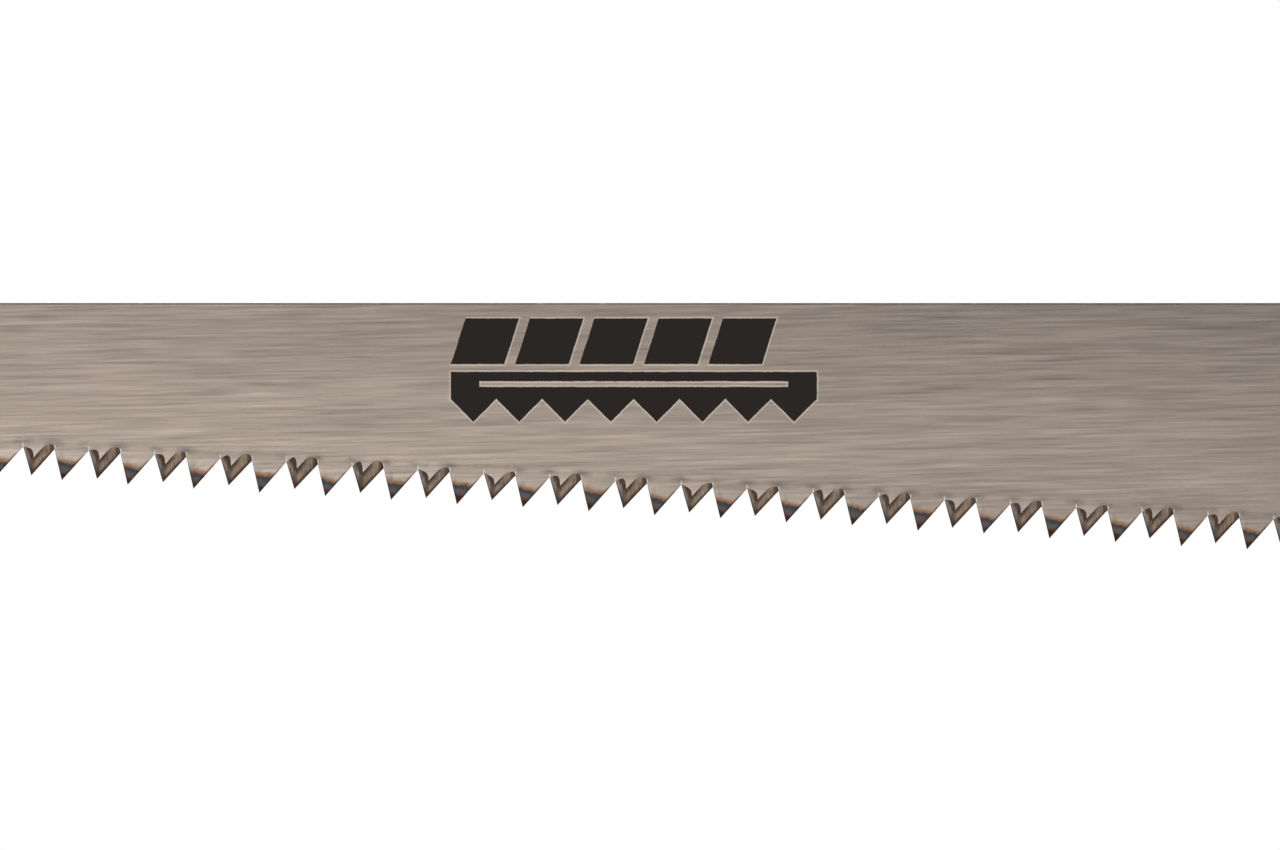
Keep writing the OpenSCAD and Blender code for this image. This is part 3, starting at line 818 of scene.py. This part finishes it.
def half_sweep(name, t, outer, inner, side, points=61, relief=None):
    """A closed half of a hollow skin: at each t the outer arc, then the inner arc back. outer and
    inner are offsets for each t. The arcs stop a hair short of the joint plane, and the outer one
    is drawn in there, which leaves a fine groove between the halves."""
    groove_deep, gap = 0.22, 0.03
    angle = even_angles(points)[None, :]
    t = t[:, None]
    seam = np.zeros(points)
    seam[[0, -1]] = 1
    off = outer[:, None] - groove_deep * seam
    if relief:
        off = off + relief(t, angle)
    out = skin(t, angle, off, side)
    back = skin(t, angle, inner[:, None], side)[:, ::-1]
    for arc in (out, back):
        arc[..., 1] = side * np.maximum(abs(arc[..., 1]), gap)
    groove = skin(t, np.array([[0.0, math.pi]]), outer[:, None], side)
    groove[..., 1] = side * groove_deep
    ring = np.concatenate([out[:, :1], groove[:, :1], out[:, 1:-1], groove[:, 1:], out[:, -1:], back], 1)
    rows, count = ring.shape[:2]
    faces = grid_faces(rows, count, False, True).tolist()
    for first in (0, (rows - 1) * count):
        j = np.arange(points + 1)
        other = count - 1 - np.clip(j - 1, 0, points - 1)
        after = count - 1 - np.clip(j, 0, points - 1)
        faces += np.stack([first + j, first + j + 1, first + after, first + other], -1).tolist()
    return tidy_mesh(new_mesh(name, ring.reshape(-1, 3), [list(dict.fromkeys(f)) for f in faces]), 2e-7)


def shell_mesh(side, handle):
    """One half of the hard handle, with a step down to the recess of the soft grip."""
    wall, drop = handle.wall / MM, handle.grip_thickness / MM
    step, nose_hole, front_rows, rear_rows = 0.004, 1.9, 60, 24
    nose = np.array([0.0, 0.006, 0.02, 0.045, 0.08])
    nose_in = np.array([-0.75, -0.45, -0.2, -0.05, 0.0])
    ledge = np.array([GRIP_FROM - 0.012, GRIP_FROM - 0.004, GRIP_FROM, GRIP_FROM + step])
    ledge_in = np.array([0.0, -0.06, -0.2, -drop])
    rise = np.array([GRIP_TO - step, GRIP_TO, GRIP_TO + 0.004, GRIP_TO + 0.012])
    rise_in = np.array([-drop, -0.2, -0.06, 0.0])
    t = np.concatenate([nose, np.linspace(0.15, GRIP_FROM - 0.04, front_rows), ledge,
                        np.linspace(GRIP_FROM + 0.1, GRIP_TO - 0.1, rear_rows), rise,
                        np.linspace(GRIP_TO + 0.04, T_END, rear_rows)])
    outer = np.concatenate([nose_in, np.zeros(front_rows), ledge_in, np.full(rear_rows, -drop), rise_in,
                            np.zeros(rear_rows)])
    inner = np.where(t < NOSE_WALL, nose_hole - STATIONS[0, 4],
                     np.where((t > GRIP_FROM) & (t < GRIP_TO), -drop - wall, -wall))
    return half_sweep("shell", t, outer, inner, side)


def grip_relief(height):
    """Twelve flat anti-slip ribs across the palm side of the grip, with ends on a sine curve."""
    first, pitch, count, half, slope = 5.775, 0.34, 12, 0.085, 0.024
    short_reach, more_reach, end_slope = 1.75, 0.25, 0.09

    def relief(t, angle):
        nearest = np.clip(np.round((t - first) / pitch), 0, count - 1) * pitch + first
        across = np.clip((half - abs(t - nearest)) / slope, 0, 1)
        reach = short_reach + more_reach * np.sin(math.pi * (nearest - first) / (pitch * (count - 1)))
        return height * across * np.clip((reach - angle) / end_slope, 0, 1)

    return relief


def grip_mesh(side, handle):
    """One half of the soft grip, with rolled ends."""
    end_gap, proud, clearance, rows, points = 0.008, 0.2, 0.14, 330, 57
    first, last = GRIP_FROM + end_gap, GRIP_TO - end_gap
    roll = np.array([0.0, 0.006, 0.016, 0.03, 0.05])
    roll_in = np.array([-0.55, -0.28, -0.1, -0.02, 0.0])
    t = np.concatenate([first + roll, np.linspace(first + 0.06, last - 0.06, rows), last - roll[::-1]])
    outer = proud + np.concatenate([roll_in, np.zeros(rows), roll_in[::-1]])
    inner = np.full(len(t), clearance - handle.grip_thickness / MM)
    return half_sweep("grip", t, outer, inner, side, points, grip_relief(handle.rib_height / MM))


def pommel_mesh():
    """The domed cover on the open end: section rings of the last station that move down the axis
    and draw in along a quarter ellipse, with a screw well carved in."""
    s = STATIONS[-1]
    centre, span = np.array([s[0] + s[2], 0, s[1] + s[3]]) / 2, s[:2] - s[2:4]
    up = np.array([-span[1], 0, span[0]]) / np.linalg.norm(span)
    angle = np.concatenate([even_angles(61), -even_angles(61)[-2:0:-1]])
    u = np.linspace(0, 1, 14)
    run = np.concatenate([[0.05, 0.05, 0.25], 0.8 + 4.2 * np.sin(u * math.pi / 2)])
    off = np.concatenate([[-3.0, -0.75, -0.35], -0.3 - 6.0 * (1 - np.cos(u * math.pi / 2))])
    side = np.sign(np.sin(angle)) + (np.sin(angle) == 0)
    ring = skin(np.full((len(run), 1), float(T_END)), np.abs(angle)[None], off[:, None], 1)
    ring[..., 1] = np.abs(ring[..., 1]) * side
    ring = ring - run[:, None, None] * up
    rows, count = ring.shape[:2]
    faces = grid_faces(rows, count, False, True).tolist()
    faces += [list(range(count)), list(range(rows * count - 1, (rows - 1) * count - 1, -1))]
    bottom, head, shank, step, top = 6, 3.4, 1.65, 4, 8
    well = turned("well", [(0, 0, 0), (head, 0, 0), (head, step, 0), (shank, step, 0), (shank, top, 0),
                           (0, top, 0)], centre - up * bottom, 48, axis=up)
    return carve(tidy_mesh(new_mesh("pommel", ring.reshape(-1, 3), faces)), [well])


def wells(numbers, low, radius):
    """Cutters that sink the heads of some of the handle screws into the right side."""
    places = [middle_mm(f"handle_screw_{k}") for k in numbers]
    return [plug(x, z, low, OUTSIDE, radius, 48) for x, _, z in places]


# ---- operators ----


class SAW_OT_blade(bpy.types.Operator):
    """Blade with ground and set teeth, and its slotted tang"""

    bl_idname = "saw.blade"
    bl_label = "Blade"

    def execute(self, context):
        mesh = joined(blade_mesh(context.scene.saw_blade), tang_mesh())
        piece("saw_blade", mesh, "blade", "blade", "blade_steel", "ground_steel", "edge_steel",
              sharp=math.radians(14))
        return {"FINISHED"}


class SAW_OT_shells(bpy.types.Operator):
    """Two hard halves of the handle, with their seats, holes and the blade's slot"""

    bl_idname = "saw.shells"
    bl_label = "Handle shells"

    def execute(self, context):
        eye_x, _, eye_z = middle_mm("hang_eyelet")
        flange_y = box_mm("hang_eyelet")[1][1] - FLANGE_T
        slot_low, slot_high, slot_front, slot_back, slot_half = BOLT_Z - 11.1, BOLT_Z + 11.7, -1, 3, 2.15
        pad_r, pad_low, pad_high, pad_round, boss_r, boss_low = 12.5, 9, 13.2, 0.8, 6.9, 8
        plate_floor, well_floor = 10.4, 5.5
        for name, side in SIDES.items():
            inside, outside = sorted((-side, side * slot_half))
            reach = sorted((side * 0.5, side * OUTSIDE))
            cuts = [block((slot_front, inside, slot_low), (slot_back, outside, slot_high)),
                    plug(BOLT_X, BOLT_Z, *reach, BOLT_HOLE),
                    plug(eye_x, eye_z, *reach, BARREL_HOLE),
                    plug(eye_x, eye_z, *sorted((side * flange_y, side * OUTSIDE)), FLANGE_SEAT)]
            added = [plug(eye_x, eye_z, *sorted((side * boss_low, side * flange_y)), boss_r)]
            if name == "left":
                pad = [(0, pad_low, 0), (pad_r, pad_low, 0), (pad_r, pad_high, pad_round),
                       (0, pad_high, 0)]
                added.insert(0, turned("pad", pad, axis=(0, -1, 0)))
            else:
                cuts.append(plug(BOLT_X, BOLT_Z, plate_floor, OUTSIDE, PLATE_SEAT))
                cuts += wells(range(1, 6), well_floor, SCREW_WELL)
            mesh = carve(carve(shell_mesh(side, context.scene.saw_handle), added, "UNION"), cuts)
            piece("handle_shell_" + name, tidy_mesh(mesh, outward=False), "handle", "shell_" + name,
                  "red_plastic")
        return {"FINISHED"}


class SAW_OT_grips(bpy.types.Operator):
    """Two soft halves of the grip with finger waves and anti-slip ribs"""

    bl_idname = "saw.grips"
    bl_label = "Soft grips"

    def execute(self, context):
        for name, side in SIDES.items():
            mesh = grip_mesh(side, context.scene.saw_handle)
            if name == "right":
                mesh = tidy_mesh(carve(mesh, wells((4, 5), 5, GRIP_WELL)), outward=False)
            piece("soft_grip_" + name, mesh, "handle", "grip_" + name, "soft_grip")
        return {"FINISHED"}


class SAW_OT_pommel(bpy.types.Operator):
    """Domed cover on the handle's end and its screw"""

    bl_idname = "saw.pommel"
    bl_label = "Pommel"

    def execute(self, context):
        piece("pommel_cover", pommel_mesh(), "handle", "pommel_cap", "black_plastic")
        refined("pommel_screw", "handle", "zinc_steel", 0.12)
        return {"FINISHED"}


class SAW_OT_knob(bpy.types.Operator):
    """Lobed clamp knob, its cap and its threaded insert"""

    bl_idname = "saw.knob"
    bl_label = "Clamp knob"

    def execute(self, context):
        centre = (BOLT_X, KNOB_HIGH[1], BOLT_Z)
        radius = (KNOB_HIGH[0] - KNOB_LOW[0]) / 2
        height = KNOB_HIGH[1] - KNOB_LOW[1]
        lobes, bite, neck = 6, 0.3 * radius, 9.5
        far = radius + 0.62 * bite

        def lobed(r, h, angle):
            """Takes circular bites out of the rim, faded out towards the neck."""
            turn = 2 * math.pi / lobes
            within = np.mod(angle, turn) - turn / 2
            reach = np.maximum(bite ** 2 - (far * np.sin(within)) ** 2, 0)
            rim = np.where(reach > 0, far * np.cos(within) - np.sqrt(reach), radius)
            drawn = radius - np.minimum(rim, radius)
            return r - drawn * np.clip((r - neck - 0.1) / (radius - neck - 1), 0, 1)

        bore, seat, floor, hole, insert_end = 6.05, 7.1, height - 1.2, 3.4, 8.02
        profile = [(bore, 0, 0.2), (neck, 0, 0.4), (neck, 2, 0.5), (radius, 2, 1.0),
                   (radius, height, 3.2), (8.3, height, 0.6), (seat, height - 0.4, 0.25),
                   (seat, floor, 0.05), (hole, floor, 0.05), (hole, insert_end, 0.05),
                   (bore, insert_end, 0.05)]
        mesh = turned("knob", profile, centre, 240, lobed, (0, -1, 0))
        piece("clamp_knob_finished", mesh, "knob", "clamp_knob", "black_plastic", sharp=math.radians(40))
        low, high = box_mm("knob_cap")
        top = high[1] - low[1]
        cap = turned("cap", [(0, 0, 0), (7, 0, 0.1), (7, top - 0.55, 0.5), (5.6, top - 0.12, 0.4),
                             (4.6, top - 0.3, 0.4), (0, top - 0.3, 0)],
                     (BOLT_X, high[1], BOLT_Z), 120, axis=(0, -1, 0))
        piece("knob_cap_finished", cap, "knob", "knob_cap", "red_plastic")
        refined("knob_insert", "knob", "brass", 0.15)
        return {"FINISHED"}


class SAW_OT_clamp(bpy.types.Operator):
    """Clamp bolt, its plate, the washers and the folded blade holder"""

    bl_idname = "saw.clamp"
    bl_label = "Clamp fittings"

    def execute(self, context):
        low, high = box_mm("clamp_bolt")
        seat = box_mm("bolt_plate")[1][1]
        head_r, shank, neck_end = (high[0] - low[0]) / 2, 3, seat - 5

        def squared(r, h, angle):
            """Widens the circle to a square where the neck is."""
            square = r / np.maximum(abs(np.cos(angle)), abs(np.sin(angle)))
            return np.where((h > neck_end) & (h < seat - 0.01), square, r)

        rise = high[1] - seat
        dome = [(head_r * math.cos(a), seat + 0.5 + (rise - 0.5) * math.sin(a), 0.3)
                for a in np.linspace(0, 1, 9)[1:-1] * math.pi / 2]
        profile = [(0, low[1], 0), (2.4, low[1], 0.1), (shank, low[1] + 0.6, 0.2),
                   (shank, neck_end - 0.01, 0), (shank, neck_end + 0.01, 0), (shank, seat - 0.02, 0),
                   (shank, seat, 0), (head_r, seat, 0.15), (head_r, seat + 0.45, 0.2), *dome,
                   (0, high[1], 0)]
        bolt = turned("bolt", profile, shape=squared)
        piece("clamp_bolt_finished", bolt, "handle", "clamp_bolt", "zinc_steel")
        low, high = box_mm("flat_washer")
        bore, rim = 3.2, 9
        washer = turned("washer", [(bore, low[1], 0.12), (rim, low[1], 0.35), (rim, high[1], 0.12),
                                   (bore, high[1], 0.12)], steps=120)
        piece("flat_washer_finished", washer, "washer", "flat_washer", "zinc_steel")
        refined("bolt_plate", "handle", "zinc_steel", 0.2)
        refined("spring_washer", "handle", "spring_steel", 0.1)
        refined("blade_holder", "handle", "zinc_steel", 0.2)
        return {"FINISHED"}


class SAW_OT_screws(bpy.types.Operator):
    """Five screws that hold the shells together"""

    bl_idname = "saw.screws"
    bl_label = "Handle screws"

    def execute(self, context):
        for k in range(1, 6):
            refined(f"handle_screw_{k}", "handle", "zinc_steel", 0.12)
        return {"FINISHED"}


class SAW_OT_eyelet(bpy.types.Operator):
    """Rolled brass eyelet to hang the saw by"""

    bl_idname = "saw.eyelet"
    bl_label = "Hanging eyelet"

    def execute(self, context):
        low, high = box_mm("hang_eyelet")
        x, _, z = middle_mm("hang_eyelet")
        bore, barrel, flange = 3.5, 4.5, (high[0] - low[0]) / 2
        end, lip = high[1], high[1] - FLANGE_T
        profile = [(bore, -end, 0.7), (flange, -end, 0.5), (flange, -lip, 0.2), (barrel, -lip, 0.1),
                   (barrel, lip, 0.1), (flange, lip, 0.2), (flange, end, 0.5), (bore, end, 0.7)]
        piece("hang_eyelet_finished", turned("eyelet", profile, (x, 0, z)), "handle", "hang_eyelet",
              "brass")
        return {"FINISHED"}


class SAW_OT_stage(bpy.types.Operator):
    """Pale floor, soft white surroundings, three soft lamps and a long-lens camera"""

    bl_idname = "saw.stage"
    bl_label = "Stage"

    def execute(self, context):
        scene = context.scene
        floor_r, floor_gap, corners = 900, 0.4, 96
        angle = np.linspace(0, 2 * math.pi, corners, endpoint=False)
        rim = floor_r * np.stack([np.cos(angle), np.sin(angle), 0 * angle], -1)
        rim[:, 2] = CAD_BOX[0][2] / MM - floor_gap
        floor = linked("floor", new_mesh("floor", rim, [list(range(corners))]))
        paint = Finish("floor_paint", Base_Color=(0.86, 0.86, 0.86, 1), Roughness=0.85)
        floor.data.materials.append(paint.material)
        world = scene.world = bpy.data.worlds.new("studio")
        world.use_nodes = True
        # White to the camera, and brighter from above than from below to the object
        sky = Nodes(world.node_tree)
        height = sky.node("TexCoord", {}, {}, "Generated").parts()[2]
        glow = height.between(-0.6, 0.9) * 0.50 + 0.30
        shown = sky.node("LightPath", {}, {}, "Is Camera Ray").most(glow)
        sky.tree.links.new(shown.socket, sky.tree.nodes["Background"].inputs["Color"])
        for name, place, turn, width, watts in (
                ("key", (-0.5, -0.9, 0.9), (48, 0, -28), 0.7, 10.0),
                ("fill", (0.9, -0.7, 0.35), (70, 0, 52), 0.5, 3.5),
                ("rim", (0.35, 0.9, 0.8), (-50, 0, -27), 0.6, 8.0)):
            lamp = bpy.data.lights.new(name, "AREA")
            lamp.shape, lamp.size, lamp.size_y, lamp.energy = "RECTANGLE", width, width * 0.6, watts
            made = linked(name, lamp)
            made.location, made.rotation_euler = place, [math.radians(a) for a in turn]
            made.visible_camera = False
        scene.view_settings.view_transform = "Standard"
        camera = bpy.data.cameras.new("camera")
        shown_width, centre_x, centre_z, away = 123.3 * MM, -117.65 * MM, -11.74 * MM, 1.6
        camera.sensor_width = 36
        camera.lens = camera.sensor_width * away / shown_width
        camera.clip_start, camera.clip_end = 0.05, 20
        scene.camera = linked("camera", camera)
        scene.camera.location = (centre_x, -away, centre_z)
        scene.camera.rotation_euler = (math.pi / 2, 0, 0)
        return {"FINISHED"}


class SAW_PT_panel(bpy.types.Panel):
    """Lists the saw's sizes, colours and pieces"""

    bl_idname = "SAW_PT_panel"
    bl_label = "Compass saw"
    bl_space_type = "VIEW_3D"
    bl_region_type = "UI"
    bl_category = "Saw"

    def draw(self, context):
        for group in (context.scene.saw_blade, context.scene.saw_handle, context.scene.saw_colours):
            box = self.layout.box()
            for key in group.__annotations__:
                box.prop(group, key)
        for operator in OPERATORS:
            self.layout.operator(operator.bl_idname)


OPERATORS = (SAW_OT_stage, SAW_OT_blade, SAW_OT_shells, SAW_OT_grips, SAW_OT_pommel, SAW_OT_knob,
             SAW_OT_clamp, SAW_OT_screws, SAW_OT_eyelet)
GROUPS = {"saw_blade": SawBlade, "saw_handle": SawHandle, "saw_colours": SawColours}


def register():
    for cls in (*GROUPS.values(), *OPERATORS, SAW_PT_panel):
        bpy.utils.register_class(cls)
    for name, group in GROUPS.items():
        setattr(bpy.types.Scene, name, bpy.props.PointerProperty(type=group))


def unregister():
    for name in GROUPS:
        delattr(bpy.types.Scene, name)
    for cls in (SAW_PT_panel, *reversed(OPERATORS), *GROUPS.values()):
        bpy.utils.unregister_class(cls)


def main():
    register()
    bpy.ops.saw.stage()
    bpy.ops.saw.blade()
    bpy.ops.saw.shells()
    bpy.ops.saw.grips()
    bpy.ops.saw.pommel()
    bpy.ops.saw.knob()
    bpy.ops.saw.clamp()
    bpy.ops.saw.screws()
    bpy.ops.saw.eyelet()


if __name__ == "__main__":
    main()
